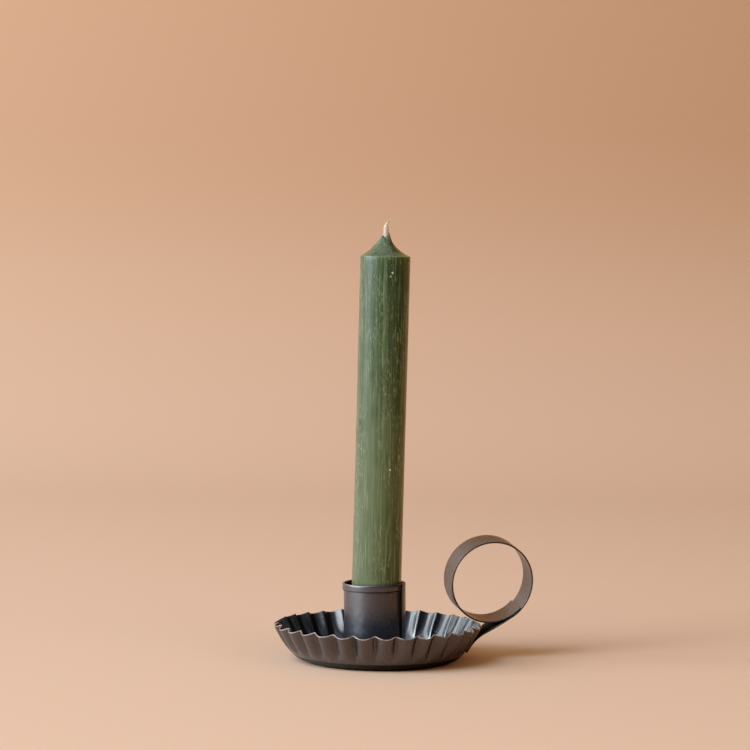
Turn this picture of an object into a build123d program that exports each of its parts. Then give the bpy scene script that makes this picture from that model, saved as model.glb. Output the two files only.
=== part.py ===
from build123d import *
import math
import os

# Chamberstick with a finger loop, in millimetres. The pan rests on z = 0, and +X points from the
# pan's centre to the finger loop.

# Drip pan: one sheet, a flat base, a rounded corner and a fluted wall
SHEET = 0.5
BASE_FLAT_RADIUS = 30.3
CORNER_RADIUS = 8.0
WALL_ANGLE = 61.5
PAN_HEIGHT = 15.3
FLUTE_COUNT = 30
FLUTE_DEPTH = 2.0

# Candle socket: a rolled tube with room for the candle, a hem round its mouth and a lapped seam
CANDLE_ROOM = 3.5
SOCKET_TOP = 33.0
SOCKET_LEAN = 0.8
SOCKET_LEAN_TOWARDS = 170.0
SOCKET_OFFSET = 1.0
HEM_HEIGHT = 2.8
FOLD_GAP = 0.1
SEAM_START = -40.0
SEAM_SWEEP = 34.0
SEAM_JOGGLE = 5.0
HEM_END_GAP = 1.5
SOLDER_LEG = 1.4
SOLDER_GAP = 0.02

# Finger loop: one flat strip with a foot on the pan's wall, a bend, a stem and a lapped ring
STRIP_WIDTH = 12.5
STRIP_THICKNESS = 0.65
FOOT_GAP = 0.05
FOOT_WRAP_ANGLE = 11.0
FOOT_LENGTH = 2.4
BEND_RADIUS = 20.0
STEM_ANGLE = 33.5
STEM_LENGTH = 15.0
STEM_TWIST = 9.0
LOOP_RADIUS = 18.1
LOOP_TIGHTEN_ANGLE = 120.0
LAP_GAP = 0.1
LAP_ANGLE = 15.2

# Spot welds
FOOT_WELD_DIAMETER = 2.2
FOOT_WELD_SPACING = 5.0
LAP_WELD_DIAMETER = 3.0
WELD_GAP = 0.005

# Candle and wick
CANDLE_DIAMETER = 21.0
SHOULDER_HEIGHT = 170.5
CONE_HEIGHT = 8.6
CONE_MIDDLE_RADIUS = 5.3
CONE_MIDDLE_HEIGHT = 3.5
TIP_RADIUS = 1.5
CANDLE_LEAN = 0.86
CANDLE_LEAN_TOWARDS = -10.0
CANDLE_OFFSET = -1.0
CANDLE_SEAT_GAP = 0.1
WICK_DIAMETER = 1.75
WICK_GAP = 0.05
WICK_STRAIGHT = 3.4
WICK_CURL_RADIUS = 4.5
WICK_CURL_ANGLE = 35.0

# The pan's wall, worked out from the sizes above
wall_sine = math.sin(math.radians(WALL_ANGLE))
wall_cosine = math.cos(math.radians(WALL_ANGLE))
wall_run = wall_cosine / wall_sine


def corner_end(radius):
    """Where a corner arc of this radius meets the straight wall, as radius and height."""
    return BASE_FLAT_RADIUS + radius * wall_sine, CORNER_RADIUS - radius * wall_cosine


wall_foot_radius, wall_foot_height = corner_end(CORNER_RADIUS)
rim_radius = wall_foot_radius + (PAN_HEIGHT - wall_foot_height) * wall_run
rim_wave = FLUTE_DEPTH / 2 / wall_sine
wave_growth = rim_wave / (PAN_HEIGHT - wall_foot_height)

# The socket's layers
tube_inner = (CANDLE_DIAMETER + CANDLE_ROOM) / 2
tube_outer = tube_inner + SHEET
fold_inner = tube_outer + FOLD_GAP
fold_outer = fold_inner + SHEET
socket_place = (Rot(0, 0, SOCKET_LEAN_TOWARDS) * Pos(SOCKET_OFFSET, 0, 0) * Rot(0, SOCKET_LEAN, 0)
                * Rot(0, 0, -SOCKET_LEAN_TOWARDS))
socket_foot = SHEET - 2 * (fold_outer + SOLDER_LEG) * math.tan(math.radians(SOCKET_LEAN))


def polar(radius, angle):
    """A point of the XY plane from its radius and its angle in degrees."""
    return radius * math.cos(math.radians(angle)), radius * math.sin(math.radians(angle))


def spin(face, start=0.0, sweep=360.0):
    """A face of the XZ plane turned about the Z axis, from one angle through a sweep."""
    return Rot(0, 0, start) * revolve(face, Axis.Z, sweep)


def profile(*points):
    """A polygon of the XZ plane, from points given as radius and height."""
    return make_face(Polyline(*[(x, 0, z) for x, z in points], close=True))


def fluted_wire(radius, wave, height):
    """A closed wavy line of arcs, with one outward flute on +X."""
    pitch = 360 / FLUTE_COUNT
    edges = []
    for half in range(2 * FLUTE_COUNT):
        middle = half * pitch / 2
        peak = radius + wave if half % 2 == 0 else radius - wave
        ends = [(*polar(radius, middle + side * pitch / 4), height) for side in (-1, 1)]
        edges.append(ThreePointArc(ends[0], (*polar(peak, middle), height), ends[1]))
    return Wire(edges)


def pan_filled(corner_radius, top):
    """The space inside one surface of the pan's sheet, filled up to a height."""
    floor = CORNER_RADIUS - corner_radius
    radius, height = corner_end(corner_radius)
    half_angle = WALL_ANGLE / 2
    bulge = (BASE_FLAT_RADIUS + corner_radius * math.sin(math.radians(half_angle)),
             CORNER_RADIUS - corner_radius * math.cos(math.radians(half_angle)))
    outline = [
        Line((0, 0, floor), (BASE_FLAT_RADIUS, 0, floor)),
        ThreePointArc((BASE_FLAT_RADIUS, 0, floor), (bulge[0], 0, bulge[1]), (radius, 0, height)),
        Line((radius, 0, height), (0, 0, height)),
        Line((0, 0, height), (0, 0, floor)),
    ]
    dish = spin(make_face(outline))
    rise = top - height
    wall = Solid.make_loft([
        fluted_wire(radius, 0, height),
        fluted_wire(radius + rise * wall_run, rise * wave_growth, top),
    ], ruled=True)
    return dish + wall


def make_drip_pan():
    """The fluted pan. Its rim is trimmed square to the wall, so inward flutes stand higher."""
    trim = 2 * FLUTE_DEPTH + SHEET
    top = PAN_HEIGHT + trim
    shell = pan_filled(CORNER_RADIUS, top) - pan_filled(CORNER_RADIUS - SHEET, top + SHEET)
    inside = (rim_radius - trim * wall_sine, PAN_HEIGHT + trim * wall_cosine)
    outside = (rim_radius + 2 * trim * wall_sine, PAN_HEIGHT - 2 * trim * wall_cosine)
    above = profile(inside, outside, (outside[0], top + trim), (inside[0], top + trim))
    return shell - spin(above)


def ring_sector(inner, outer, low, high, start=0.0, sweep=360.0):
    """A piece of a straight-sided ring about the Z axis."""
    return spin(profile((inner, low), (outer, low), (outer, high), (inner, high)), start, sweep)


def cut_level(shape, height):
    """The shape without what lies below a height."""
    box = shape.bounding_box()
    depth = height - box.min.Z + SHEET
    below = Box(box.size.X + SHEET, box.size.Y + SHEET, depth)
    return shape - Pos(box.center().X, box.center().Y, height - depth / 2) * below


def make_candle_socket():
    """The rolled tube, its hem turned outwards, and the lap of its seam over the tube.

    The tube leans a little, so its foot is cut level with the pan's floor.
    """
    fold_height = SOCKET_TOP - (SHEET + FOLD_GAP / 2)
    fold_middle = tube_outer + FOLD_GAP / 2
    outer_bend = SHEET + FOLD_GAP / 2
    inner_bend = FOLD_GAP / 2
    fold = make_face([
        Line((fold_middle - outer_bend, 0, fold_height), (fold_middle - inner_bend, 0, fold_height)),
        ThreePointArc((fold_middle - inner_bend, 0, fold_height),
                      (fold_middle, 0, fold_height + inner_bend),
                      (fold_middle + inner_bend, 0, fold_height)),
        Line((fold_middle + inner_bend, 0, fold_height), (fold_inner, 0, SOCKET_TOP - HEM_HEIGHT)),
        Line((fold_inner, 0, SOCKET_TOP - HEM_HEIGHT), (fold_outer, 0, SOCKET_TOP - HEM_HEIGHT)),
        Line((fold_outer, 0, SOCKET_TOP - HEM_HEIGHT), (fold_middle + outer_bend, 0, fold_height)),
        ThreePointArc((fold_middle + outer_bend, 0, fold_height),
                      (fold_middle, 0, SOCKET_TOP),
                      (fold_middle - outer_bend, 0, fold_height)),
    ])
    plain_sweep = SEAM_SWEEP + 2 * HEM_END_GAP
    plain_start = SEAM_START - HEM_END_GAP
    hem = spin(fold, plain_start + plain_sweep, 360 - plain_sweep)
    tube = ring_sector(tube_inner, tube_outer, socket_foot, fold_height)
    plain_top = ring_sector(tube_inner, tube_outer, socket_foot, SOCKET_TOP, plain_start, plain_sweep)
    lap = ring_sector(fold_inner, fold_outer, socket_foot, SOCKET_TOP, SEAM_START, SEAM_SWEEP)
    joggle_start = SEAM_START + SEAM_SWEEP - SEAM_JOGGLE
    joggle = ring_sector(tube_outer - SHEET / 2, fold_inner + SHEET / 2, socket_foot, SOCKET_TOP,
                         joggle_start, SEAM_JOGGLE)
    return cut_level(socket_place * (tube + plain_top + hem + lap + joggle), SHEET)


def make_socket_solder():
    """The hollow fillet of solder round the tube's foot, broken where the seam's lap stands."""
    inner = tube_outer + SOLDER_GAP
    outer = inner + SOLDER_LEG
    top = SHEET + SOLDER_LEG
    hollow = SOLDER_LEG * (1 - math.sqrt(0.5))
    fillet_face = make_face([
        Line((inner, 0, socket_foot), (outer, 0, socket_foot)),
        Line((outer, 0, socket_foot), (outer, 0, SHEET)),
        ThreePointArc((outer, 0, SHEET), (inner + hollow, 0, SHEET + hollow), (inner, 0, top)),
        Line((inner, 0, top), (inner, 0, socket_foot)),
    ])
    lap_room = ring_sector(tube_inner, fold_outer + SOLDER_GAP, socket_foot - SHEET, top + SHEET,
                           SEAM_START - HEM_END_GAP, SEAM_SWEEP + 2 * HEM_END_GAP)
    return cut_level(socket_place * (spin(fillet_face) - lap_room), SHEET)


def along(angle, length):
    """A step in the XZ plane, in a direction given in degrees above +X."""
    across, up = polar(length, angle)
    return Vector(across, 0, up)


# The strip's line in the XZ plane. Each stretch starts where the one before it ends.
seat_angle = math.degrees(math.atan2(1, wall_run + wave_growth))
corner_centre = Vector(BASE_FLAT_RADIUS, 0, CORNER_RADIUS)
foot_seat_radius = CORNER_RADIUS + FOOT_GAP
foot_start = corner_centre + along(seat_angle - 90, foot_seat_radius)
foot_end = foot_start + along(seat_angle, FOOT_LENGTH)
bend_centre = foot_end + along(seat_angle - 90, BEND_RADIUS)
bend_end = bend_centre + along(STEM_ANGLE + 90, BEND_RADIUS)
stem_end = bend_end + along(STEM_ANGLE, STEM_LENGTH)
loop_start = STEM_ANGLE - 90
loop_centre = stem_end + along(STEM_ANGLE + 90, LOOP_RADIUS - STRIP_THICKNESS)
tighten = (STRIP_THICKNESS + LAP_GAP) / 2
tight_radius = LOOP_RADIUS - tighten
tight_centre = loop_centre + along(LOOP_TIGHTEN_ANGLE, tighten)
loop_end = loop_start + 360 + LAP_ANGLE
stem_middle = bend_end + along(STEM_ANGLE - 90, STRIP_THICKNESS / 2)
stem_axis = Axis(stem_middle, along(STEM_ANGLE, 1))


def flat_band(face, width=STRIP_WIDTH):
    """A face of the XZ plane given a width, half on each side of that plane."""
    return extrude(face, width / 2, dir=(0, 1, 0), both=True)


def arc_between(centre, radius, start, end):
    """An arc of the XZ plane between two angles."""
    points = [centre + along(angle, radius) for angle in (start, (start + end) / 2, end)]
    return ThreePointArc(*points)


def bent_band(centre, inner, outer, start, end):
    """A stretch of strip bent round a centre, between two radii and two angles."""
    inside = arc_between(centre, inner, start, end)
    outside = arc_between(centre, outer, start, end)
    ends = [Line(inside @ 0, outside @ 0), Line(inside @ 1, outside @ 1)]
    return flat_band(make_face([inside, outside, *ends]))


def straight_band(start, angle, length):
    """A straight stretch of strip, given by the start of its upper face."""
    thickness = along(angle - 90, STRIP_THICKNESS)
    end = start + along(angle, length)
    return flat_band(make_face(Polyline(start, end, end + thickness, start + thickness, close=True)))


def strip_section(point, twist=0.0):
    """The strip's cross-section on the stem's axis, turned about that axis."""
    section = Plane(origin=point, x_dir=(0, 1, 0), z_dir=along(STEM_ANGLE, 1))
    return section * Rot(0, 0, twist) * Rectangle(STRIP_WIDTH, STRIP_THICKNESS)


def make_finger_loop():
    """The strip from its foot to its free end. The stem is twisted, and carries the ring with it."""
    foot = bent_band(corner_centre, foot_seat_radius, foot_seat_radius + STRIP_THICKNESS,
                     seat_angle - 90 - FOOT_WRAP_ANGLE, seat_angle - 90)
    seat = straight_band(foot_start, seat_angle, FOOT_LENGTH)
    bend = bent_band(bend_centre, BEND_RADIUS - STRIP_THICKNESS, BEND_RADIUS,
                     STEM_ANGLE + 90, seat_angle + 90)
    stem = loft([strip_section(stem_middle),
                 strip_section(stem_middle + along(STEM_ANGLE, STEM_LENGTH), STEM_TWIST)], ruled=True)
    wide_turn = bent_band(loop_centre, LOOP_RADIUS - STRIP_THICKNESS, LOOP_RADIUS,
                          loop_start, LOOP_TIGHTEN_ANGLE)
    tight_turn = bent_band(tight_centre, tight_radius - STRIP_THICKNESS, tight_radius,
                           LOOP_TIGHTEN_ANGLE, loop_end)
    ring = (wide_turn + tight_turn).rotate(stem_axis, STEM_TWIST)
    return foot + seat + bend + stem + ring


def make_handle_welds(pan):
    """Two spot welds side by side, between the strip's seat and the pan's wall."""
    middle = foot_start + along(seat_angle, FOOT_LENGTH / 2) + along(seat_angle + 90, WELD_GAP)
    spots = []
    for side in (-1, 1):
        place = Plane(origin=middle + Vector(0, side * FOOT_WELD_SPACING / 2, 0),
                      x_dir=(0, 1, 0), z_dir=along(seat_angle + 90, 1))
        rod = place * extrude(Circle(FOOT_WELD_DIAMETER / 2), SHEET)
        spots += (rod - pan).solids()
    return Compound(children=spots)


def loop_cylinder(centre, radius):
    """A cylinder across the strip's width, about a centre of the ring."""
    return Plane(origin=centre, z_dir=(0, 1, 0)) * Cylinder(radius, STRIP_WIDTH)


def make_loop_lap_weld():
    """The spot weld that fills the gap between the two layers of the ring's lap."""
    outward = Plane(origin=loop_centre, x_dir=(0, 1, 0), z_dir=along(loop_start + LAP_ANGLE / 2, 1))
    rod = outward * extrude(Circle(LAP_WELD_DIAMETER / 2), LOOP_RADIUS)
    inside_outer_layer = loop_cylinder(loop_centre, LOOP_RADIUS - STRIP_THICKNESS - WELD_GAP)
    inner_layer = loop_cylinder(tight_centre, tight_radius + WELD_GAP)
    return ((rod & inside_outer_layer) - inner_layer).rotate(stem_axis, STEM_TWIST)


# The candle stands on the pan's floor inside the socket, and leans a little
candle_radius = CANDLE_DIAMETER / 2
candle_tip = SHOULDER_HEIGHT + CONE_HEIGHT
candle_seat = SHEET + CANDLE_SEAT_GAP
candle_place = (Pos(0, 0, SHEET) * Rot(0, 0, CANDLE_LEAN_TOWARDS)
                * Pos(CANDLE_OFFSET, 0, 0) * Rot(0, CANDLE_LEAN, 0))
butt_allowance = CANDLE_DIAMETER * math.tan(math.radians(CANDLE_LEAN))


def make_candle_wax():
    """A straight candle with a hollow cone at its top and a channel for the wick."""
    channel = WICK_DIAMETER / 2 + WICK_GAP
    shoulder = (candle_radius, 0, SHOULDER_HEIGHT)
    tip = (TIP_RADIUS, 0, candle_tip)
    half = make_face([
        Line((channel, 0, -butt_allowance), (candle_radius, 0, -butt_allowance)),
        Line((candle_radius, 0, -butt_allowance), shoulder),
        ThreePointArc(shoulder, (CONE_MIDDLE_RADIUS, 0, SHOULDER_HEIGHT + CONE_MIDDLE_HEIGHT), tip),
        Line(tip, (channel, 0, candle_tip)),
        Line((channel, 0, candle_tip), (channel, 0, -butt_allowance)),
    ])
    return cut_level(candle_place * spin(half), candle_seat)


def make_wick():
    """The wick through the whole candle, with its short free end curling over."""
    start = Vector(0, 0, -butt_allowance)
    curl_start = Vector(0, 0, candle_tip + WICK_STRAIGHT)
    curl_centre = curl_start + Vector(WICK_CURL_RADIUS, 0, 0)
    curl = arc_between(curl_centre, WICK_CURL_RADIUS, 180, 180 - WICK_CURL_ANGLE)
    path = Wire([Line(start, curl_start), curl])
    wick = sweep(Pos(start) * Circle(WICK_DIAMETER / 2), path)
    return cut_level(candle_place * wick, candle_seat)


drip_pan = make_drip_pan()
nodes = {
    "drip_pan": drip_pan,
    "candle_socket": make_candle_socket(),
    "socket_solder": make_socket_solder(),
    "finger_loop": make_finger_loop(),
    "handle_welds": make_handle_welds(drip_pan),
    "loop_lap_weld": make_loop_lap_weld(),
    "candle_wax": make_candle_wax(),
    "wick": make_wick(),
}

os.makedirs("parts", exist_ok=True)
for name, shape in nodes.items():
    export_step(shape, f"parts/{name}.step")
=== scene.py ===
import math

import bpy
import numpy as np
from mathutils import Matrix, Vector


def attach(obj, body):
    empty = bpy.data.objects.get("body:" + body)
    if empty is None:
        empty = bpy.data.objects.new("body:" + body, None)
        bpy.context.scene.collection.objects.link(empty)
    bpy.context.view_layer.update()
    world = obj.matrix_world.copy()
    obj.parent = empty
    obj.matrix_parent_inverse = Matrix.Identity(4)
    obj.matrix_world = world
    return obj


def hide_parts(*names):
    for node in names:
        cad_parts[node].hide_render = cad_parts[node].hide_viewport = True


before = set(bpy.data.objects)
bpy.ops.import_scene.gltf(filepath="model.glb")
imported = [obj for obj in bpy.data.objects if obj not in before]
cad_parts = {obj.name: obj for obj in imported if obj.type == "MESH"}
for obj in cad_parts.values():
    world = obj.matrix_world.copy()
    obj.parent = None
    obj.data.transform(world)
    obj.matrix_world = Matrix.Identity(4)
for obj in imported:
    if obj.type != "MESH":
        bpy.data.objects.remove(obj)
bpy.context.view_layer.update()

# A chamberstick of black coated sheet metal with a green candle. Sizes are in millimetres and degrees,
# and MM turns them into the frame's metres.
MM = 0.001

# Drip pan
SHEET = 0.5
BASE_FLAT_RADIUS = 30.3
CORNER_RADIUS = 8.0
WALL_ANGLE = 61.5
PAN_HEIGHT = 15.3
FLUTE_COUNT = 30
FLUTE_DEPTH = 2.35
POINTS_PER_FLUTE = 28
CREASE_ROUND = 0.09
HEEL_RADIUS = 10.5
HEEL_BLEND = 0.2
FLUTE_RUNOUT = 3.5
SEAT_HALF_ANGLE = 9.0
FLOOR_RADII = (2.0, 8.0, 15.0, 22.0, 25.0, 26.8)
CORNER_ROWS = 13
# Rows of the corner, after the floor rows, that get painted shade on the underside
PAINTED_SHADE_CORNER_ROWS = 11
EDGE_STEPS = 5
EDGE_ROUNDNESS = 0.8

# Candle socket
SOCKET_BORE = 24.5
SOCKET_TOP = 33.0
SOCKET_LEAN = 0.8
SOCKET_LEAN_TOWARDS = 170.0
SOCKET_OFFSET = 1.35
HEM_HEIGHT = 2.8
FOLD_GAP = 0.1
SEAM_START = -40.0
SEAM_SWEEP = 34.0
SEAM_JOGGLE = 5.0
HEM_END_GAP = 1.5
HEM_TAPER = 0.05
SOCKET_DENTS = [(2, 0.05), (3, 0.04), (5, 0.02)]

# Finger loop
STRIP_WIDTH = 12.5
STRIP_THICKNESS = 0.65
STRIP_EDGE_RADIUS = 0.2
FOOT_GAP = 0.05
FOOT_WRAP_ANGLE = 1.0
FOOT_LENGTH = 2.4
BEND_RADIUS = 20.0
STEM_ANGLE = 33.5
STEM_LENGTH = 15.0
STEM_TWIST = 9.0
LOOP_RADIUS = 18.1
LOOP_TIGHTEN_ANGLE = 120.0
LAP_GAP = 0.1
LAP_ANGLE = 15.2
DIMPLE_RADIUS = 1.3
DIMPLE_DEPTH = 0.16
DIMPLE_ROWS_FROM_END = 12
# Painted shade on the loop: how dark the stem is made, over how many rows it fades into the ring, and how
# dark the strip's edges are made
STEM_PAINTED_SHADE = 0.85
STEM_PAINTED_SHADE_FADE_ROWS = 12
EDGE_PAINTED_SHADE = 0.7

# Candle and wick
CANDLE_DIAMETER = 21.0
SHOULDER_HEIGHT = 170.5
SHOULDER_ROUND = 0.35
CONE_HEIGHT = 8.6
CONE_MIDDLE_RADIUS = 5.3
CONE_MIDDLE_HEIGHT = 3.5
TIP_RADIUS = 1.5
TIP_CLIMB = 1.2
TIP_DIP = 1.1
TIP_DRAWN_HEIGHT = 2.5
CONE_SKEW = -0.45
CANDLE_LEAN = 0.95
CANDLE_LEAN_TOWARDS = -10.0
CANDLE_OFFSET = -1.3
CANDLE_SEAT_GAP = 0.1
WAX_SPECKS = [((2.81, -10.66, 164.1), 0.6), ((1.92, -10.74, 162.6), 0.38), ((2.64, -10.25, 81.5), 0.5),
              ((-9.1, 5.0, 128.0), 0.45), ((6.0, 8.4, 61.0), 0.5), ((-6.5, 8.0, 148.0), 0.4)]
WICK_ROOT = 4.0
WICK_STRAIGHT = 3.4
WICK_CURL_RADIUS = 4.5
WICK_CURL_ANGLE = 35.0
WICK_POINTS = 60
STRAND_COUNT = 3
STRAND_REACH = 0.93
STRAND_LAY = 0.5
STRAND_RADIUS = 0.62
STRAND_TURNS = 2.6
FIBRE_COUNT = 9
FIBRE_START = -8

# Colours of the coat on all the metal: clean, dusty, rubbed, and near-black for painted shade
COAT = (0.033, 0.0345, 0.043)
COAT_DUST = (0.043, 0.044, 0.052)
COAT_RUBBED = (0.3, 0.27, 0.25)
COAT_PAINTED_SHADE = (0.004, 0.0035, 0.003)

# The ground in metres as the camera sees it: its sides, its ends, and the sweep up to the backdrop
GROUND_LEFT = -3.0
GROUND_RIGHT = 3.0
GROUND_NEAR = -3.0
GROUND_FAR = 0.7
SWEEP_RADIUS = 1.0
BACKDROP_HEIGHT = 2.0

# Pairs of a tone and how it is shown: the dark tones are deepened, and the others kept
TONE_CURVE = ((0.015, 0.003), (0.03, 0.0095), (0.05, 0.026), (0.08, 0.057), (0.12, 0.108),
              (0.18, 0.18), (0.4, 0.4))

# The camera: where it stands, how it is turned and how long its lens is
VIEW_AZIMUTH = -10.2
CAMERA_DISTANCE = 1230.0
CAMERA_HEIGHT = 190.0
CAMERA_PITCH = 3.22
CAMERA_YAW = 0.1076
CAMERA_ROLL = 0.6
SENSOR_WIDTH = 36.0
LENS = 140.26


def sine(angle):
    return math.sin(math.radians(angle))


def cosine(angle):
    return math.cos(math.radians(angle))


# Worked out from the sizes above: the pan's wall
wall_run = cosine(WALL_ANGLE) / sine(WALL_ANGLE)
wall_foot_radius = BASE_FLAT_RADIUS + CORNER_RADIUS * sine(WALL_ANGLE)
wall_foot_height = CORNER_RADIUS - CORNER_RADIUS * cosine(WALL_ANGLE)
wall_rise = PAN_HEIGHT - wall_foot_height
wave_growth = FLUTE_DEPTH / 2 / sine(WALL_ANGLE) / wall_rise


# Meshes

class Shape:
    """The points and faces of one piece in millimetres, and each point's wear and painted light: 1 rubbed
    on the metal and a painted highlight on the candle's shoulder, -1 painted shade.
    """

    def __init__(self):
        self.points = []
        self.faces = []
        self.wear_and_painted_light = []

    def grid(self, points, wear_and_painted_light=None, close_rows=False, close_columns=False):
        """Adds four-sided faces between rows and columns of points, and returns the points' numbers."""
        rows, columns = points.shape[:2]
        start = len(self.points)
        numbers = start + np.arange(rows * columns).reshape(rows, columns)
        self.points.extend(points.reshape(-1, 3).tolist())
        worn_and_painted_light = np.zeros((rows, columns)) if wear_and_painted_light is None else np.broadcast_to(wear_and_painted_light, (rows, columns))
        self.wear_and_painted_light.extend(worn_and_painted_light.reshape(-1).tolist())
        last_row = rows if close_rows else rows - 1
        last_column = columns if close_columns else columns - 1
        for i in range(last_row):
            for j in range(last_column):
                here = numbers[i, j]
                right = numbers[i, (j + 1) % columns]
                beyond = numbers[(i + 1) % rows, (j + 1) % columns]
                above = numbers[(i + 1) % rows, j]
                self.faces.append((here, right, beyond, above))
        return numbers

    def fan(self, ring, centre):
        """Closes a ring of point numbers with triangles round a new centre point."""
        middle = len(self.points)
        self.points.append(list(centre))
        self.wear_and_painted_light.append(0.0)
        for j in range(len(ring)):
            self.faces.append((ring[j], ring[(j + 1) % len(ring)], middle))

    def move(self, matrix):
        """Puts all points through a matrix of millimetres."""
        self.points = [list(matrix @ Vector(point)) for point in self.points]


def grid_normals(points, close_columns):
    """The unit normals of a grid of points, pointing to the side where rows cross columns."""
    along_rows = np.gradient(points, axis=0)
    if close_columns:
        along_columns = np.roll(points, -1, axis=1) - np.roll(points, 1, axis=1)
    else:
        along_columns = np.gradient(points, axis=1)
    return unit(np.cross(along_columns, along_rows))


def unit(vectors):
    """Vectors brought to a length of one."""
    return vectors / np.linalg.norm(vectors, axis=-1, keepdims=True)


def round_edge(points, normals, outward, thickness):
    """Rows that lead round a sheet's edge, from its outer side to its inner side."""
    middle = points - normals * thickness / 2
    rows = []
    for angle in np.linspace(0, 180, EDGE_STEPS + 2)[1:-1]:
        side = normals * cosine(angle) + outward * sine(angle) * EDGE_ROUNDNESS
        rows.append(middle + side * thickness / 2)
    return np.stack(rows)


def add_piece(shape, name, body, material, cad_node, sharp_angle):
    """Makes the shape a smooth mesh that rides on a body in place of a CAD node."""
    mesh = bpy.data.meshes.new(name)
    points = [[value * MM for value in point] for point in shape.points]
    mesh.from_pydata(points, [], shape.faces)
    mesh.attributes.new("wear_and_painted_light", "FLOAT", "POINT").data.foreach_set("value", shape.wear_and_painted_light)
    mesh.polygons.foreach_set("use_smooth", [True] * len(mesh.polygons))
    mesh.set_sharp_from_angle(angle=math.radians(sharp_angle))
    mesh.materials.append(material)
    piece = bpy.data.objects.new(name, mesh)
    bpy.context.scene.collection.objects.link(piece)
    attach(piece, body)
    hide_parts(cad_node)


def wobble(angles, waves):
    """A small irregular wave round a turn, from pairs of a count and a size."""
    total = np.zeros_like(angles)
    for number, (count, size) in enumerate(waves):
        total = total + size * np.sin(count * angles + 1.7 * number + count)
    return total


# Pieces

def flute_wave(phase):
    """A wave of broad round crests outwards and narrow creases inwards, from -1 to 1."""
    crests = 2 * np.sqrt(np.cos(phase / 2) ** 2 + CREASE_ROUND ** 2)
    low = 2 * CREASE_ROUND
    high = 2 * math.sqrt(1 + CREASE_ROUND ** 2)
    return 2 * (crests - low) / (high - low) - 1


def make_pan(material):
    """The fluted pan: one sheet with a rounded raw edge. No two flutes are quite alike."""
    angles = np.linspace(0, 2 * math.pi, FLUTE_COUNT * POINTS_PER_FLUTE, endpoint=False)
    shift = np.radians(wobble(angles, [(2, 0.2), (5, 0.16), (11, 0.22), (17, 0.2)]))
    wave = flute_wave(FLUTE_COUNT * (angles + shift))
    wave = wave * (1 + wobble(angles, [(3, 0.06), (7, 0.06), (13, 0.08)]))
    across = np.cos(angles)
    along = np.sin(angles)
    rows = []
    for radius in FLOOR_RADII:
        rows.append((np.full_like(angles, radius), np.zeros_like(angles)))
    from_loop = np.degrees(np.minimum(angles, 2 * math.pi - angles))
    seat_free = np.clip((from_loop - SEAT_HALF_ANGLE) / SEAT_HALF_ANGLE, 0, 1)
    heel_flat = BASE_FLAT_RADIUS - (HEEL_RADIUS - CORNER_RADIUS) * math.tan(math.radians(WALL_ANGLE / 2))
    heel_turn = math.degrees(math.acos(1 - wall_foot_height / HEEL_RADIUS))
    heel_inset = wall_foot_radius - heel_flat - HEEL_RADIUS * sine(heel_turn)
    for part in np.linspace(0, 1, CORNER_ROWS):
        radius = BASE_FLAT_RADIUS + CORNER_RADIUS * sine(part * WALL_ANGLE)
        height = CORNER_RADIUS - CORNER_RADIUS * cosine(part * WALL_ANGLE)
        heel_radius = heel_flat + HEEL_RADIUS * sine(part * heel_turn)
        heel_height = HEEL_RADIUS - HEEL_RADIUS * cosine(part * heel_turn)
        radius = radius + seat_free * (heel_radius - radius)
        height = height + seat_free * (heel_height - height)
        rows.append((radius, height))
    slant = wall_run * cosine(WALL_ANGLE) + sine(WALL_ANGLE)
    top = wall_rise * slant / (slant + wave_growth * wave * cosine(WALL_ANGLE))
    top = top - SHEET * 0.4 + wobble(angles, [(4, 0.06), (9, 0.07), (19, 0.05)])
    for part in list(np.linspace(0, 0.985, 16)[1:]) + [1.0]:
        depth = part + seat_free * (1 - (1 - part) ** FLUTE_RUNOUT - part)
        radius = wall_foot_radius + part * top * wall_run + depth * top * wave_growth * wave
        radius = radius - seat_free * heel_inset * max(1 - part / HEEL_BLEND, 0) ** 2
        rows.append((radius, wall_foot_height + part * top))
    outer = np.stack([np.stack([r * across, r * along, z], axis=1) for r, z in rows])
    normals = grid_normals(outer, True)
    inner = outer - normals * SHEET
    edge = round_edge(outer[-1], normals[-1], unit(outer[-1] - outer[-2]), SHEET)
    points = np.concatenate([outer, edge, inner[::-1]])
    wear_and_painted_light = np.zeros(len(points))
    wear_and_painted_light[len(outer) - 1:len(outer) + len(edge) + 1] = 1.0
    # Painted shade: the base and the heel are made near-black and matt, for the shadow under the pan.
    wear_and_painted_light[:len(FLOOR_RADII) + PAINTED_SHADE_CORNER_ROWS] = -1.0
    shape = Shape()
    numbers = shape.grid(points, wear_and_painted_light[:, None], close_columns=True)
    shape.fan(numbers[0][::-1], (0, 0, 0))
    shape.fan(numbers[-1], (0, 0, SHEET))
    add_piece(shape, "fluted_pan", "holder", material, "drip_pan", 60)


def closed_sheet(shape, middle, thickness, row_wear_and_painted_shade):
    """Adds a sheet of a thickness about a grid of middle points, with all four edges rounded."""
    normals = grid_normals(middle, False)
    outer = middle + normals * thickness / 2
    inner = middle - normals * thickness / 2
    row_end = round_edge(outer[-1], normals[-1], unit(middle[-1] - middle[-2]), thickness)
    row_start = round_edge(outer[0], normals[0], unit(middle[0] - middle[1]), thickness)
    loop = np.concatenate([outer, row_end, inner[::-1], row_start[::-1]])
    end_wear_and_painted_shade = np.full(len(row_end), row_wear_and_painted_shade[-1])
    start_wear_and_painted_shade = np.full(len(row_start), row_wear_and_painted_shade[0])
    wear_and_painted_light = np.concatenate([row_wear_and_painted_shade, end_wear_and_painted_shade, row_wear_and_painted_shade[::-1], start_wear_and_painted_shade])
    numbers = shape.grid(loop, wear_and_painted_light[:, None], close_rows=True)
    shape.fan(numbers[:, 0], loop[:, 0].mean(axis=0))
    shape.fan(numbers[::-1, -1], loop[:, -1].mean(axis=0))


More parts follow.
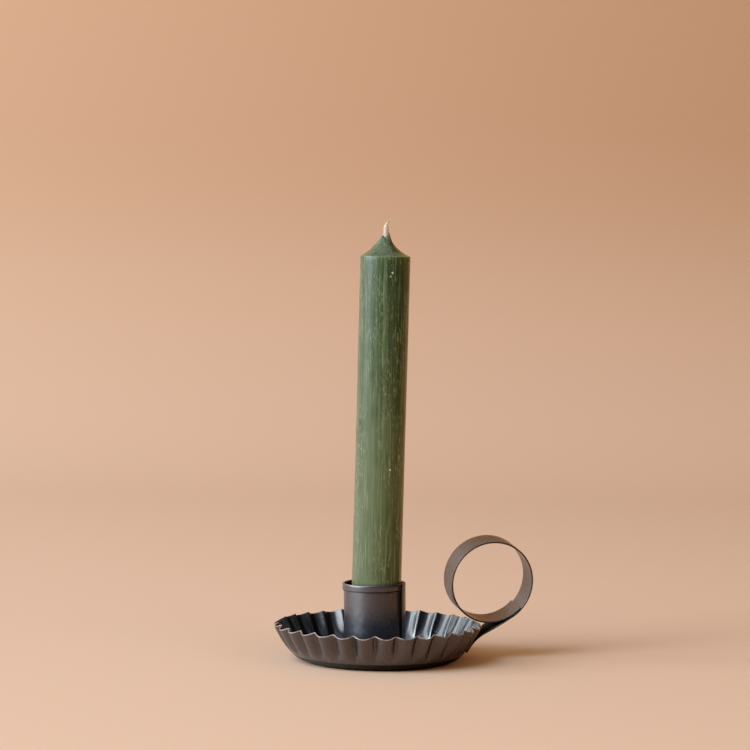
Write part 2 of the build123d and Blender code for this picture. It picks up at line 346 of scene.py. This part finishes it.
def make_socket(material):
    """The rolled tube with its seam lapped over itself, and the hem turned outwards round its mouth."""
    tube_middle = SOCKET_BORE / 2 + SHEET / 2
    lap_step = SHEET + FOLD_GAP
    fold_height = SOCKET_TOP - SHEET - FOLD_GAP / 2
    hem_start = SEAM_START + SEAM_SWEEP + HEM_END_GAP
    hem_end = SEAM_START + 360 - HEM_END_GAP
    tube_end = SEAM_START + SEAM_SWEEP + 360 - SEAM_JOGGLE
    degrees = np.linspace(SEAM_START, tube_end, 200)
    lapped = np.clip((SEAM_START + SEAM_SWEEP - degrees) / SEAM_JOGGLE, 0, 1)
    lapped = lapped * lapped * (3 - 2 * lapped)
    under_hem = (degrees > hem_start) & (degrees < hem_end)
    top = np.where(under_hem, fold_height, SOCKET_TOP - SHEET * 0.4)
    angles = np.radians(degrees)
    dents = wobble(angles, SOCKET_DENTS)
    rows = []
    for part in np.linspace(0, 1, 26):
        radius = tube_middle + lap_step * lapped + dents * part
        rows.append(np.stack([radius * np.cos(angles), radius * np.sin(angles), part * top], axis=1))
    shape = Shape()
    closed_sheet(shape, np.stack(rows), SHEET, np.zeros(len(rows)))
    degrees = np.linspace(hem_start, hem_end, 180)
    angles = np.radians(degrees)
    dents = wobble(angles, SOCKET_DENTS)
    bend = (SHEET + FOLD_GAP) / 2
    rows = []
    for turn in np.linspace(180, 0, 9):
        radius = tube_middle + bend + bend * cosine(turn) + dents
        height = fold_height + bend * sine(turn) + 0 * angles
        rows.append(np.stack([radius * np.cos(angles), radius * np.sin(angles), height], axis=1))
    for part in np.linspace(0, 1, 6)[1:]:
        radius = tube_middle + 2 * bend + dents - HEM_TAPER * part * part
        height = fold_height - part * (HEM_HEIGHT - SHEET) + wobble(angles, [(4, 0.05), (9, 0.04)]) * part
        rows.append(np.stack([radius * np.cos(angles), radius * np.sin(angles), height], axis=1))
    row_wear_and_painted_shade = np.zeros(len(rows))
    row_wear_and_painted_shade[3:6] = 0.12
    # Painted shadow: the hem's lower edge is made near-black and matt, for the shade line under the hem.
    row_wear_and_painted_shade[-1] = -1.0
    closed_sheet(shape, np.stack(rows), SHEET, row_wear_and_painted_shade)
    turn = Matrix.Rotation(math.radians(SOCKET_LEAN_TOWARDS), 4, "Z")
    lean = Matrix.Rotation(math.radians(SOCKET_LEAN), 4, "Y")
    shape.move(turn @ Matrix.Translation((SOCKET_OFFSET, 0, 0)) @ lean @ turn.inverted())
    shape.points = [[x, y, max(z, SHEET)] for x, y, z in shape.points]
    add_piece(shape, "rolled_socket", "holder", material, "candle_socket", 50)


def step(angle, length):
    """A step in the XZ plane, in a direction given in degrees above +X."""
    return Vector((length * cosine(angle), 0, length * sine(angle)))


def strip_path():
    """The middle line of the finger loop's strip: each point, its heading and its share of the twist."""
    half = STRIP_THICKNESS / 2
    seat_angle = math.degrees(math.atan2(1, wall_run + wave_growth))
    corner = Vector((BASE_FLAT_RADIUS, 0, CORNER_RADIUS))
    foot_radius = CORNER_RADIUS + FOOT_GAP + half
    foot_end = corner + step(seat_angle - 90, foot_radius) + step(seat_angle, FOOT_LENGTH)
    bend_centre = foot_end + step(seat_angle - 90, BEND_RADIUS - half)
    bend_end = bend_centre + step(STEM_ANGLE + 90, BEND_RADIUS - half)
    stem_end = bend_end + step(STEM_ANGLE, STEM_LENGTH)
    ring_radius = LOOP_RADIUS - half
    ring_start = STEM_ANGLE - 90
    ring_centre = stem_end + step(STEM_ANGLE + 90, ring_radius)
    tighten = (STRIP_THICKNESS + LAP_GAP) / 2
    tight_centre = ring_centre + step(LOOP_TIGHTEN_ANGLE, tighten)
    path = []
    for angle in np.linspace(seat_angle - 90 - FOOT_WRAP_ANGLE, seat_angle - 90, 8):
        path.append((corner + step(angle, foot_radius), angle + 90, 0))
    for part in np.linspace(0, 1, 5)[1:]:
        path.append((foot_end + step(seat_angle, FOOT_LENGTH * (part - 1)), seat_angle, 0))
    for angle in np.linspace(seat_angle + 90, STEM_ANGLE + 90, 16)[1:]:
        path.append((bend_centre + step(angle, BEND_RADIUS - half), angle - 90, 0))
    for part in np.linspace(0, 1, 31)[1:]:
        path.append((bend_end + step(STEM_ANGLE, STEM_LENGTH * part), STEM_ANGLE, part * (2 - part)))
    for angle in np.linspace(ring_start, LOOP_TIGHTEN_ANGLE, 111)[1:]:
        path.append((ring_centre + step(angle, ring_radius), angle + 90, 1))
    for angle in np.linspace(LOOP_TIGHTEN_ANGLE, ring_start + 360 + LAP_ANGLE, 161)[1:]:
        path.append((tight_centre + step(angle, ring_radius - tighten), angle + 90, 1))
    return path, bend_end


def strip_section():
    """The strip's rounded cross-section: points across the width and the thickness."""
    half_width = STRIP_WIDTH / 2 - STRIP_EDGE_RADIUS
    half_thickness = STRIP_THICKNESS / 2 - STRIP_EDGE_RADIUS
    points = []
    for across in np.linspace(-half_width, half_width, 25):
        points.append((across, STRIP_THICKNESS / 2))
    for angle in np.linspace(60, -60, 5):
        points.append((half_width + STRIP_EDGE_RADIUS * cosine(angle),
                       half_thickness * (1 if angle > 0 else -1) + STRIP_EDGE_RADIUS * sine(angle)))
    for across in np.linspace(half_width, -half_width, 25):
        points.append((across, -STRIP_THICKNESS / 2))
    for angle in np.linspace(240, 120, 5):
        points.append((-half_width + STRIP_EDGE_RADIUS * cosine(angle),
                       half_thickness * (1 if angle < 180 else -1) + STRIP_EDGE_RADIUS * sine(angle)))
    return points


def make_loop(material):
    """The finger loop: one strip with a foot, a bend, a twisted stem and a ring lapped over the stem."""
    path, pivot = strip_path()
    section = strip_section()
    weld_point = path[-DIMPLE_ROWS_FROM_END][0]
    rows = []
    for place, heading, twist in path:
        inward = step(heading + 90, 1)
        turn = Matrix.Rotation(math.radians(STEM_TWIST * twist), 3, step(STEM_ANGLE, 1))
        dent = max(0.0, 1 - ((place - weld_point).length / DIMPLE_RADIUS) ** 2)
        row = []
        for across, depth in section:
            dip = 0.0
            if depth > 0 and twist == 1:
                dip = DIMPLE_DEPTH * max(0.0, dent - (across / DIMPLE_RADIUS) ** 2)
            point = place + inward * (depth - dip) + Vector((0, across, 0))
            row.append(pivot + turn @ (point - pivot))
        rows.append(row)
    stem_rows = sum(twist < 1 for _, _, twist in path)
    on_stem = np.clip((stem_rows - np.arange(len(path))) / STEM_PAINTED_SHADE_FADE_ROWS, 0, 1)[:, None]
    on_edge = np.array([abs(across) > STRIP_WIDTH / 2 - STRIP_EDGE_RADIUS for across, _ in section])
    # Painted shade: the stem's faces are darkened, fading out into the ring, and the strip's edges are
    # darkened along the ring, for the shade and dark reflections there.
    wear_and_painted_light = np.where(on_edge[None, :], EDGE_PAINTED_SHADE * on_stem - EDGE_PAINTED_SHADE, -STEM_PAINTED_SHADE * on_stem)
    shape = Shape()
    numbers = shape.grid(np.array(rows), wear_and_painted_light, close_columns=True)
    shape.fan(numbers[0][::-1], np.array(rows[0]).mean(axis=0))
    shape.fan(numbers[-1], np.array(rows[-1]).mean(axis=0))
    add_piece(shape, "loop_strip", "holder", material, "finger_loop", 50)


def candle_place():
    """Where the candle stands: on the pan's floor, leaning a little."""
    turn = Matrix.Rotation(math.radians(CANDLE_LEAN_TOWARDS), 4, "Z")
    lean = Matrix.Rotation(math.radians(CANDLE_LEAN), 4, "Y")
    return Matrix.Translation((0, 0, SHEET)) @ turn @ Matrix.Translation((CANDLE_OFFSET, 0, 0)) @ lean


def cone_arc():
    """The hollow cone of the candle's top, as radius and height from the shoulder to the tip."""
    start = np.array([CANDLE_DIAMETER / 2 - SHOULDER_ROUND, SHOULDER_HEIGHT + SHOULDER_ROUND * 0.2])
    middle = np.array([CONE_MIDDLE_RADIUS, SHOULDER_HEIGHT + CONE_MIDDLE_HEIGHT])
    end = np.array([TIP_RADIUS, SHOULDER_HEIGHT + CONE_HEIGHT])
    control = 2 * middle - (start + end) / 2
    return [(1 - t) ** 2 * start + 2 * t * (1 - t) * control + t * t * end for t in np.linspace(0, 1, 18)]


def make_candle(material):
    """The candle: a body with shallow ripples, a crisp shoulder, and an uneven edge of wax at the wick."""
    angles = np.linspace(0, 2 * math.pi, 144, endpoint=False)
    radius = CANDLE_DIAMETER / 2
    outline = [(radius - 0.5, 0.0), (radius - 0.1, 0.12), (radius, 0.5)]
    outline += [(radius, height) for height in np.linspace(2, SHOULDER_HEIGHT - SHOULDER_ROUND, 90)]
    outline += [(radius - 0.1, SHOULDER_HEIGHT - 0.06)]
    body_rows = len(outline)
    outline += [tuple(point) for point in cone_arc()]
    tip = SHOULDER_HEIGHT + CONE_HEIGHT
    outline += [(TIP_RADIUS - 0.2, tip + 0.15), (TIP_RADIUS - 0.5, tip + 0.2), (TIP_RADIUS - 0.8, tip)]
    from_right = angles - 2 * math.pi * (angles > math.pi)
    raised = TIP_CLIMB * np.exp(-(from_right / 0.9) ** 2)
    lowered = TIP_DIP * np.exp(-((from_right + math.pi / 2) / 0.8) ** 2)
    rows = []
    for number, (r, z) in enumerate(outline):
        ripple = wobble(angles, [(3, 0.05), (5, 0.03), (17, 0.012), (29, 0.012)])
        ripple = ripple + 0.03 * np.sin(4 * angles + z / 19) + 0.03 * np.sin(2 * angles - z / 31)
        share = 1.0 if number < body_rows else max(0.0, r / radius) ** 2
        reach = r + ripple * share
        skew = CONE_SKEW * math.sin(math.pi * min(1.0, max(0.0, (z - SHOULDER_HEIGHT) / CONE_HEIGHT)))
        climb = (raised - lowered) * max(0.0, 1 - (tip - z) / TIP_DRAWN_HEIGHT)
        rows.append(np.stack([reach * np.cos(angles) + skew, reach * np.sin(angles), z + climb], axis=1))
    shape = Shape()
    wear_and_painted_light = np.zeros((len(rows), 1))
    # Painted highlight: the shoulder rows are marked so that the wax takes its paler frost colour there,
    # for the light line along the shoulder.
    wear_and_painted_light[body_rows - 1:body_rows + 1] = 1.0
    numbers = shape.grid(np.stack(rows), wear_and_painted_light, close_columns=True)
    shape.fan(numbers[0][::-1], (0, 0, 0))
    shape.fan(numbers[-1], (0, 0, tip + 0.9))
    shape.move(candle_place())
    lowest = SHEET + CANDLE_SEAT_GAP
    shape.points = [[x, y, max(z, lowest)] for x, y, z in shape.points]
    add_piece(shape, "green_candle", "candle", material, "candle_wax", 35)


def tube_along(shape, line, radii, sides):
    """Adds a closed tube along a line of points, with a radius at each point."""
    line = np.array(line)
    heading = unit(np.gradient(line, axis=0))
    side = unit(np.cross(heading, (0, 1, 0)))
    other = np.cross(heading, side)
    rows = []
    for number, radius in enumerate(radii):
        turns = np.linspace(0, 2 * math.pi, sides, endpoint=False)[:, None]
        ring = side[number] * np.cos(turns) + other[number] * np.sin(turns)
        rows.append(line[number] + ring * radius)
    numbers = shape.grid(np.stack(rows), close_columns=True)
    shape.fan(numbers[0][::-1], line[0])
    shape.fan(numbers[-1], line[-1])


def wick_line(reach):
    """The wick's middle line, from inside the wax along a share of the way to its curled end."""
    tip = SHOULDER_HEIGHT + CONE_HEIGHT
    straight = WICK_STRAIGHT + WICK_ROOT
    curl = WICK_CURL_RADIUS * math.radians(WICK_CURL_ANGLE)
    line = []
    for part in np.linspace(0, reach, WICK_POINTS):
        run = part * (straight + curl)
        if run < straight:
            line.append((0.0, 0.0, tip - WICK_ROOT + run))
        else:
            angle = (run - straight) / WICK_CURL_RADIUS
            line.append((WICK_CURL_RADIUS * (1 - math.cos(angle)), 0.0,
                         tip + WICK_STRAIGHT + WICK_CURL_RADIUS * math.sin(angle)))
    return np.array(line)


def make_wick(material):
    """The braided wick: three strands laid round each other, with loose fibres at the cut end."""
    shape = Shape()
    middle = wick_line(STRAND_REACH)
    closing = np.clip(np.linspace(1, 0, WICK_POINTS) * 5, 0.35, 1)
    for strand in range(STRAND_COUNT):
        turns = np.linspace(0, STRAND_TURNS, WICK_POINTS) + strand / STRAND_COUNT
        line = middle.copy()
        line[:, 0] += STRAND_LAY * closing * np.cos(2 * math.pi * turns)
        line[:, 1] += STRAND_LAY * closing * np.sin(2 * math.pi * turns)
        tube_along(shape, line, STRAND_RADIUS * (0.4 + 0.6 * closing), 8)
    end = wick_line(1.0)[FIBRE_START]
    for fibre in range(FIBRE_COUNT):
        spread = fibre * 2.4
        lean_right = 0.75 + 0.3 * math.cos(spread)
        lean_back = 0.35 * math.sin(spread * 1.7)
        lean = np.array((lean_right, lean_back, 1.0 + 0.2 * math.sin(spread)))
        length = 1.0 + 0.35 * (fibre % 4)
        line = []
        for part in np.linspace(0, 1, 7):
            bow = 0.25 * math.sin(part * 3 + spread)
            line.append(end + (lean * length + np.array((bow * 0.3, bow * 0.4, 0))) * part)
        tube_along(shape, line, np.linspace(0.11, 0.03, 7), 5)
    shape.move(candle_place())
    add_piece(shape, "braided_wick", "candle", material, "wick", 60)


# Materials

def new_material(name):
    """An empty node material: its nodes, its links and its surface shader."""
    material = bpy.data.materials.new(name)
    material.use_nodes = True
    nodes = material.node_tree.nodes
    shader = next(node for node in nodes if node.type == "BSDF_PRINCIPLED")
    return material, nodes, material.node_tree.links, shader


def noise(nodes, links, vector, scale, detail=3.0, roughness=0.55):
    """A noise texture read at a vector, as its value."""
    node = nodes.new("ShaderNodeTexNoise")
    node.inputs["Scale"].default_value = scale
    node.inputs["Detail"].default_value = detail
    node.inputs["Roughness"].default_value = roughness
    links.new(vector, node.inputs["Vector"])
    return node.outputs["Fac"]


def remap(nodes, links, value, low, high, to_low, to_high, course="LINEAR"):
    """A value taken from one range to another, and kept within it."""
    node = nodes.new("ShaderNodeMapRange")
    node.interpolation_type = course
    node.inputs["From Min"].default_value = low
    node.inputs["From Max"].default_value = high
    node.inputs["To Min"].default_value = to_low
    node.inputs["To Max"].default_value = to_high
    links.new(value, node.inputs["Value"])
    return node.outputs["Result"]


def combine(nodes, links, operation, first, second):
    """Two values put through a math node of an operation, such as MULTIPLY or MAXIMUM."""
    node = nodes.new("ShaderNodeMath")
    node.operation = operation
    links.new(first, node.inputs[0])
    links.new(second, node.inputs[1])
    return node.outputs["Value"]


def mix(nodes, links, share, first, second):
    """A colour between two others. Each is a colour or the output of a node."""
    node = nodes.new("ShaderNodeMix")
    node.data_type = "RGBA"
    links.new(share, node.inputs["Factor"])
    for name, colour in (("A", first), ("B", second)):
        socket = next(s for s in node.inputs if s.name == name and s.type == "RGBA")
        if isinstance(colour, tuple):
            socket.default_value = (*colour, 1)
        else:
            links.new(colour, socket)
    return next(s for s in node.outputs if s.type == "RGBA")


def bump(nodes, links, shader, height, strength, depth):
    """Small relief on the surface, of a depth in metres."""
    node = nodes.new("ShaderNodeBump")
    node.inputs["Strength"].default_value = strength
    node.inputs["Distance"].default_value = depth
    links.new(height, node.inputs["Height"])
    links.new(node.outputs["Normal"], shader.inputs["Normal"])


def object_point(nodes):
    """The place on the object, in metres."""
    return nodes.new("ShaderNodeTexCoord").outputs["Object"]


def stretched(nodes, links, vector, scale):
    """A vector scaled by a different amount on each axis."""
    node = nodes.new("ShaderNodeMapping")
    node.inputs["Scale"].default_value = scale
    links.new(vector, node.inputs["Vector"])
    return node.outputs["Vector"]


def coat_material(name):
    """Satin powder coat: a fine pebbled skin, patches of dust, rubbed edges, and painted shade: near-black
    and matt on the pan's underside, under the hem and on the loop's stem and edges.
    """
    material, nodes, links, shader = new_material(name)
    point = object_point(nodes)
    pebbles = noise(nodes, links, point, 2400, 2)
    patches = noise(nodes, links, point, 90, 4)
    flow = noise(nodes, links, point, 420, 3)
    dusty = remap(nodes, links, patches, 0.45, 0.72, 0.0, 0.55)
    surface = mix(nodes, links, dusty, COAT, COAT_DUST)
    attribute = nodes.new("ShaderNodeAttribute")
    attribute.attribute_name = "wear_and_painted_light"
    rubbed = remap(nodes, links, flow, 0.38, 0.62, 0.15, 0.8)
    edge = remap(nodes, links, attribute.outputs["Fac"], 0.0, 1.0, 0.0, 1.0)
    surface = mix(nodes, links, combine(nodes, links, "MULTIPLY", edge, rubbed), surface, COAT_RUBBED)
    # Painted shade: where the mesh's mark is below zero the coat turns near-black, and the roughness below
    # is raised so that it shows no reflection.
    painted_shade = remap(nodes, links, attribute.outputs["Fac"], -1.0, 0.0, 1.0, 0.0)
    surface = mix(nodes, links, painted_shade, surface, COAT_PAINTED_SHADE)
    links.new(surface, shader.inputs["Base Color"])
    smooth = remap(nodes, links, flow, 0.3, 0.7, 0.26, 0.34)
    matt = remap(nodes, links, attribute.outputs["Fac"], -1.0, 0.0, 0.95, 0.0)
    links.new(combine(nodes, links, "MAXIMUM", smooth, matt), shader.inputs["Roughness"])
    shader.inputs["IOR"].default_value = 1.65
    shader.inputs["Specular IOR Level"].default_value = 0.9
    bump(nodes, links, shader, pebbles, 0.06, 0.00006)
    return material


def wax_material():
    """Green candle wax: long pale streaks of bloom, darker patches, and a few white specks."""
    material, nodes, links, shader = new_material("wax_green")
    point = object_point(nodes)
    streaks = noise(nodes, links, stretched(nodes, links, point, (620, 620, 9)), 1.0, 4)
    fine = noise(nodes, links, stretched(nodes, links, point, (1900, 1900, 60)), 1.0, 4)
    clouds = noise(nodes, links, point, 70, 4)
    split = nodes.new("ShaderNodeSeparateXYZ")
    links.new(point, split.inputs["Vector"])
    rise = remap(nodes, links, split.outputs["Z"], 0.05, 0.165, 0, 1)
    deep = mix(nodes, links, rise, (0.084, 0.101, 0.06), (0.05, 0.074, 0.05))
    mid = mix(nodes, links, rise, (0.112, 0.138, 0.084), (0.073, 0.104, 0.068))
    frost = mix(nodes, links, rise, (0.138, 0.164, 0.11), (0.108, 0.138, 0.096))
    surface = mix(nodes, links, remap(nodes, links, clouds, 0.35, 0.65, 0, 1), deep, mid)
    bloom = remap(nodes, links, streaks, 0.4, 0.68, 0.0, 0.75)
    surface = mix(nodes, links, bloom, surface, frost)
    scratch = remap(nodes, links, fine, 0.54, 0.72, 0.0, 0.8)
    surface = mix(nodes, links, scratch, surface, (0.2, 0.24, 0.17))
    flecks = noise(nodes, links, stretched(nodes, links, point, (1500, 1500, 420)), 1.0, 5, 0.7)
    areas = noise(nodes, links, stretched(nodes, links, point, (150, 150, 40)), 1.0, 3)
    flecked = combine(nodes, links, "MULTIPLY", remap(nodes, links, flecks, 0.53, 0.68, 0.0, 0.9),
                      remap(nodes, links, areas, 0.42, 0.62, 0, 1))
    surface = mix(nodes, links, flecked, surface, (0.27, 0.3, 0.22))
    for place, size in WAX_SPECKS:
        gap = nodes.new("ShaderNodeVectorMath")
        gap.operation = "DISTANCE"
        links.new(point, gap.inputs[0])
        gap.inputs[1].default_value = [value * MM for value in place]
        near = remap(nodes, links, gap.outputs["Value"], size * MM, size * MM * 0.5, 0.0, 0.9)
        surface = mix(nodes, links, near, surface, (0.62, 0.6, 0.46))
    attribute = nodes.new("ShaderNodeAttribute")
    attribute.attribute_name = "wear_and_painted_light"
    # Painted highlight: the paler frost colour along the candle's shoulder, where the mesh marks it.
    edge = combine(nodes, links, "MULTIPLY", attribute.outputs["Fac"],
                   remap(nodes, links, clouds, 0.4, 0.6, 0.2, 0.8))
    surface = mix(nodes, links, edge, surface, frost)
    links.new(surface, shader.inputs["Base Color"])
    links.new(remap(nodes, links, streaks, 0.35, 0.7, 0.16, 0.27), shader.inputs["Roughness"])
    shader.inputs["Specular IOR Level"].default_value = 0.5
    shader.inputs["Specular Tint"].default_value = (0.34, 0.42, 0.44, 1)
    shader.inputs["Subsurface Weight"].default_value = 0.8
    shader.inputs["Subsurface Radius"].default_value = (0.9, 1.0, 0.6)
    shader.inputs["Subsurface Scale"].default_value = 0.008
    shader.inputs["Sheen Weight"].default_value = 0.3
    shader.inputs["Sheen Roughness"].default_value = 0.3
    shader.inputs["Sheen Tint"].default_value = (1.0, 0.7, 0.48, 1)
    bump(nodes, links, shader, streaks, 0.5, 0.0005)
    return material


def cotton_material():
    """Waxed cotton: cream fibres, darker where their relief sinks, as painted shade in the fibre hollows.
    """
    material, nodes, links, shader = new_material("cotton_cream")
    point = object_point(nodes)
    fibres = noise(nodes, links, stretched(nodes, links, point, (6000, 6000, 900)), 1.0, 4)
    # Painted shade: the colour darkens where the bump's fibre relief is low.
    raised = remap(nodes, links, fibres, 0.3, 0.7, 0, 1)
    surface = mix(nodes, links, raised, (0.36, 0.31, 0.25), (0.6, 0.54, 0.46))
    links.new(surface, shader.inputs["Base Color"])
    links.new(remap(nodes, links, fibres, 0.3, 0.7, 0.75, 0.95), shader.inputs["Roughness"])
    bump(nodes, links, shader, fibres, 0.6, 0.0001)
    return material


def paper_material():
    """The warm ground under and behind the object, with painted shade: darker and more saturated up the
    backdrop, and darker towards the right.
    """
    material, nodes, links, shader = new_material("paper_peach")
    split = nodes.new("ShaderNodeSeparateXYZ")
    links.new(object_point(nodes), split.inputs["Vector"])
    # Painted shade: the colour darkens and deepens with height up the backdrop and darkens to the right,
    # for the fall-off of the window's light.
    height = remap(nodes, links, split.outputs["Z"], -0.1, 0.28, 0, 1, "SMOOTHSTEP")
    side = remap(nodes, links, split.outputs["X"], -0.1, 0.6, 0, 1)
    upper = mix(nodes, links, side, (0.55, 0.353, 0.23), (0.468, 0.276, 0.169))
    lower = mix(nodes, links, side, (0.735, 0.556, 0.435), (0.693, 0.514, 0.389))
    surface = mix(nodes, links, height, lower, upper)
    links.new(surface, shader.inputs["Base Color"])
    shader.inputs["Roughness"].default_value = 0.9
    shader.inputs["Specular IOR Level"].default_value = 0.1
    return material


# Stage, light and camera

image_right = Vector((cosine(VIEW_AZIMUTH), sine(VIEW_AZIMUTH), 0))
image_away = Vector((-sine(VIEW_AZIMUTH), cosine(VIEW_AZIMUTH), 0))
image_up = Vector((0, 0, 1))


def staged(right, away, up):
    """A point given in metres as the camera sees it: to the right, away and up."""
    return image_right * right + image_away * away + image_up * up


def make_ground():
    """A floor that sweeps up into a backdrop."""
    outline = [(GROUND_NEAR, 0.0), (0.0, 0.0), (GROUND_FAR, 0.0)]
    for angle in np.linspace(0, 90, 25)[1:]:
        away = GROUND_FAR + SWEEP_RADIUS * sine(angle)
        outline.append((away, SWEEP_RADIUS - SWEEP_RADIUS * cosine(angle)))
    outline.append((GROUND_FAR + SWEEP_RADIUS, BACKDROP_HEIGHT))
    points = []
    faces = []
    for away, up in outline:
        points += [staged(GROUND_LEFT, away, up), staged(GROUND_RIGHT, away, up)]
    for i in range(len(outline) - 1):
        faces.append((2 * i, 2 * i + 1, 2 * i + 3, 2 * i + 2))
    mesh = bpy.data.meshes.new("ground")
    mesh.from_pydata(points, [], faces)
    mesh.polygons.foreach_set("use_smooth", [True] * len(faces))
    mesh.materials.append(paper_material())
    ground = bpy.data.objects.new("ground", mesh)
    bpy.context.scene.collection.objects.link(ground)


def add_light(name, place, width, height, power, colour, diffuse=True, glossy=True):
    """A soft rectangular light that faces the object, for matt shading, for reflections or for both."""
    data = bpy.data.lights.new(name, "AREA")
    data.shape = "RECTANGLE"
    data.size = width
    data.size_y = height
    data.energy = power
    data.color = colour
    light = bpy.data.objects.new(name, data)
    light.location = place
    light.rotation_euler = (staged(0, 0, 0.08) - place).to_track_quat("-Z", "Y").to_euler()
    light.visible_camera = False
    light.visible_diffuse = diffuse
    light.visible_glossy = glossy
    bpy.context.scene.collection.objects.link(light)


def make_lights():
    """A broad window to the left, a softer light in front, and weak warm light from the right and the room.

    The high window and the ceiling show in reflections only, such as those on the pan's inner walls.
    """
    add_light("window", staged(-3.7, -1.35, 1.1), 3.4, 1.8, 226, (0.86, 0.945, 1.0))
    add_light("high_window", staged(-2.1, 0.5, 1.5), 2.2, 1.8, 44, (0.82, 0.92, 1.0), diffuse=False)
    add_light("ceiling", staged(0.3, -0.4, 2.5), 3.2, 3.2, 20, (0.85, 0.92, 1.0), diffuse=False)
    add_light("front_fill", staged(-1.4, -1.4, 1.9), 1.6, 1.4, 40, (0.88, 0.95, 1.0))
    add_light("room_bounce", staged(1.6, -1.6, 0.8), 1.5, 1.5, 12.5, (1.0, 0.88, 0.76), glossy=False)
    world = bpy.data.worlds.new("room")
    world.use_nodes = True
    background = next(node for node in world.node_tree.nodes if node.type == "BACKGROUND")
    background.inputs["Color"].default_value = (1.0, 0.7, 0.5, 1)
    background.inputs["Strength"].default_value = 0.38
    bpy.context.scene.world = world
    world.cycles_visibility.glossy = False


def set_tones():
    """Plain colours, with the dark tones deepened as in the photo."""
    settings = bpy.context.scene.view_settings
    settings.view_transform = "Standard"
    settings.use_curve_mapping = True
    curve = settings.curve_mapping.curves[3]
    for tone, shown in TONE_CURVE:
        curve.points.new(tone, shown)
    settings.curve_mapping.update()


def make_camera():
    """The camera at the photographed angle."""
    yaw = Matrix.Rotation(math.radians(CAMERA_YAW), 3, "Z")
    level = yaw @ image_away
    right = yaw @ image_right
    forward = level * cosine(CAMERA_PITCH) - image_up * sine(CAMERA_PITCH)
    up = right.cross(forward)
    rolled_right = right * cosine(CAMERA_ROLL) + up * sine(CAMERA_ROLL)
    rolled_up = up * cosine(CAMERA_ROLL) - right * sine(CAMERA_ROLL)
    data = bpy.data.cameras.new("camera")
    data.sensor_width = SENSOR_WIDTH
    data.lens = LENS
    data.clip_start = 0.05
    data.clip_end = 20
    camera = bpy.data.objects.new("camera", data)
    turn = Matrix((rolled_right, rolled_up, -forward)).transposed()
    place = staged(0, -CAMERA_DISTANCE * MM, CAMERA_HEIGHT * MM)
    camera.matrix_world = Matrix.Translation(place) @ turn.to_4x4()
    bpy.context.scene.collection.objects.link(camera)
    bpy.context.scene.camera = camera


make_pan(coat_material("coat_pan"))
make_socket(coat_material("coat_socket"))
make_loop(coat_material("coat_loop"))
make_candle(wax_material())
make_wick(cotton_material())
joint_coat = coat_material("coat_joint")
for node in ("socket_solder", "handle_welds", "loop_lap_weld"):
    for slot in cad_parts[node].material_slots:
        slot.material = joint_coat
make_ground()
make_lights()
set_tones()
make_camera()
